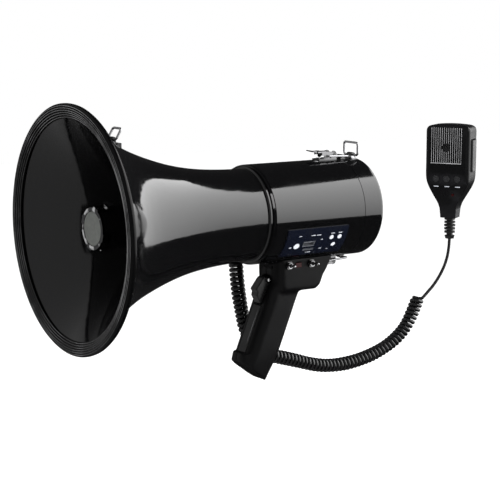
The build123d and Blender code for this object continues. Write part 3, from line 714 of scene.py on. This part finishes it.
PANEL_ROWS = [
    panel_row(0.0010, 36.0, 0.0028, 0.0012), panel_row(0.0093, 21.5, 0.0032, 0.0008),
    panel_row(0.0245, 21.6, 0.0052, 0.0008), panel_row(0.0312, 21.8, 0.0050, 0.0008),
    panel_row(0.0361, 27.9, 0.0024, 0.0008), panel_row(0.0385, 41.4, 0.0034, 0.0008),
    panel_row(0.0260, 46.4, 0.0062, 0.0009), panel_row(0.0479, 21.0, 0.0044, 0.0008),
    panel_row(0.0570, 21.0, 0.0044, 0.0008), panel_row(0.0478, 43.5, 0.0022, 0.0008),
]
MIC_ROWS = [mic_row(x, 0.1190, 0.0056, 0.0011) for x in (-0.0122, 0.0, 0.0122)]
printed_marks("panel_marks", "control_panel", PANEL_ROWS, "root")
printed_marks("mic_marks", "mic_front_shell", MIC_ROWS, "microphone")


# ---- floor, light and camera ----
def build_stage():
    """Pale floor, well below the held megaphone."""
    size = 14.0
    mesh = bpy.data.meshes.new("floor")
    half = size / 2
    z = -0.62
    mesh.from_pydata([(-half, -half, z), (half, -half, z), (half, half, z), (-half, half, z)],
                     [], [(0, 1, 2, 3)])
    floor = new_object("studio_floor", mesh)
    paint = Paint("pale_floor", (0.9, 0.9, 0.9), 0.7)
    paint.bump(paint.noise(60, 3), 0.0002, 0.1)
    floor.data.materials.append(paint.material)
    floor.visible_glossy = False


def direction(azimuth, elevation):
    a, e = math.radians(azimuth), math.radians(elevation)
    return Vector((math.sin(a) * math.cos(e), -math.cos(a) * math.cos(e), math.sin(e)))


def area_light(name, azimuth, elevation, distance, width, height, radiance, low=1.0, mirrored=True):
    """Soft box facing the part; its lower edge has `low` times the radiance of its upper one."""
    data = bpy.data.lights.new(name, "AREA")
    data.shape = "RECTANGLE"
    data.size, data.size_y = width, height
    data.energy = radiance * width * height * math.pi
    data.use_nodes = True
    tree = data.node_tree
    glow = next(n for n in tree.nodes if n.type == "EMISSION")
    across = tree.nodes.new("ShaderNodeNewGeometry")
    split = tree.nodes.new("ShaderNodeSeparateXYZ")
    fade = tree.nodes.new("ShaderNodeMapRange")
    fade.inputs["To Min"].default_value = low
    tree.links.new(across.outputs["Parametric"], split.inputs[0])
    tree.links.new(split.outputs["Y"], fade.inputs["Value"])
    tree.links.new(fade.outputs["Result"], glow.inputs["Strength"])
    light = new_object(name, data)
    back = direction(azimuth, elevation)
    light.location = Vector((0.0, 0.0, AXIS_Z)) + back * distance
    light.rotation_euler = back.to_track_quat("Z", "Y").to_euler()
    light.visible_camera = False
    light.visible_glossy = mirrored
    return light


def build_world():
    """White to the eye and to matte surfaces; dim in the gloss, so that black plastic stays black."""
    world = bpy.data.worlds.new("studio")
    bpy.context.scene.world = world
    world.use_nodes = True
    tree = world.node_tree
    tree.nodes.clear()
    output = tree.nodes.new("ShaderNodeOutputWorld")
    rays = tree.nodes.new("ShaderNodeLightPath")
    levels = []
    for strength in (1.3, 1.0, 1.0):      # matte surfaces, the eye, the gloss
        level = tree.nodes.new("ShaderNodeBackground")
        level.inputs["Color"].default_value = (1, 1, 1, 1)
        level.inputs["Strength"].default_value = strength
        levels.append(level)
    # in the gloss, the half of the room before the mouth is grey and the rest nearly black
    look = tree.nodes.new("ShaderNodeTexCoord")
    split = tree.nodes.new("ShaderNodeSeparateXYZ")
    front = tree.nodes.new("ShaderNodeMapRange")
    for key, number in (("From Min", 0.05), ("From Max", -0.25), ("To Min", 0.02), ("To Max", 0.42)):
        front.inputs[key].default_value = number
    tree.links.new(look.outputs["Generated"], split.inputs[0])
    tree.links.new(split.outputs["X"], front.inputs["Value"])
    tree.links.new(front.outputs["Result"], levels[2].inputs["Strength"])
    eye = tree.nodes.new("ShaderNodeMixShader")
    gloss = tree.nodes.new("ShaderNodeMixShader")
    tree.links.new(rays.outputs["Is Camera Ray"], eye.inputs[0])
    tree.links.new(levels[0].outputs[0], eye.inputs[1])
    tree.links.new(levels[1].outputs[0], eye.inputs[2])
    tree.links.new(rays.outputs["Is Glossy Ray"], gloss.inputs[0])
    tree.links.new(eye.outputs[0], gloss.inputs[1])
    tree.links.new(levels[2].outputs[0], gloss.inputs[2])
    tree.links.new(gloss.outputs[0], output.inputs[0])


VIEW_AZIMUTH = -34.17
VIEW_ELEVATION = 8.99
VIEW_DISTANCE = 1.6
VIEW_TARGET = Vector((0.0106, 0.042, 0.071))


def build_camera():
    back = direction(VIEW_AZIMUTH, VIEW_ELEVATION)
    data = bpy.data.cameras.new("camera")
    data.sensor_width = 36.0
    data.lens = 114.37
    camera = new_object("camera", data)
    camera.location = VIEW_TARGET + back * VIEW_DISTANCE
    camera.rotation_euler = back.to_track_quat("Z", "Y").to_euler()
    bpy.context.scene.camera = camera


build_stage()
build_world()
build_camera()
area_light("broad_box", 65, 16.5, 2.0, 3.2, 2.5, 6.0, low=0.42)
area_light("left_box", -98, 14, 2.4, 0.5, 1.4, 3.0)
area_light("top_box", -20, 80, 2.4, 2.4, 2.4, 1.2, mirrored=False)
bpy.context.scene.view_settings.view_transform = "Standard"
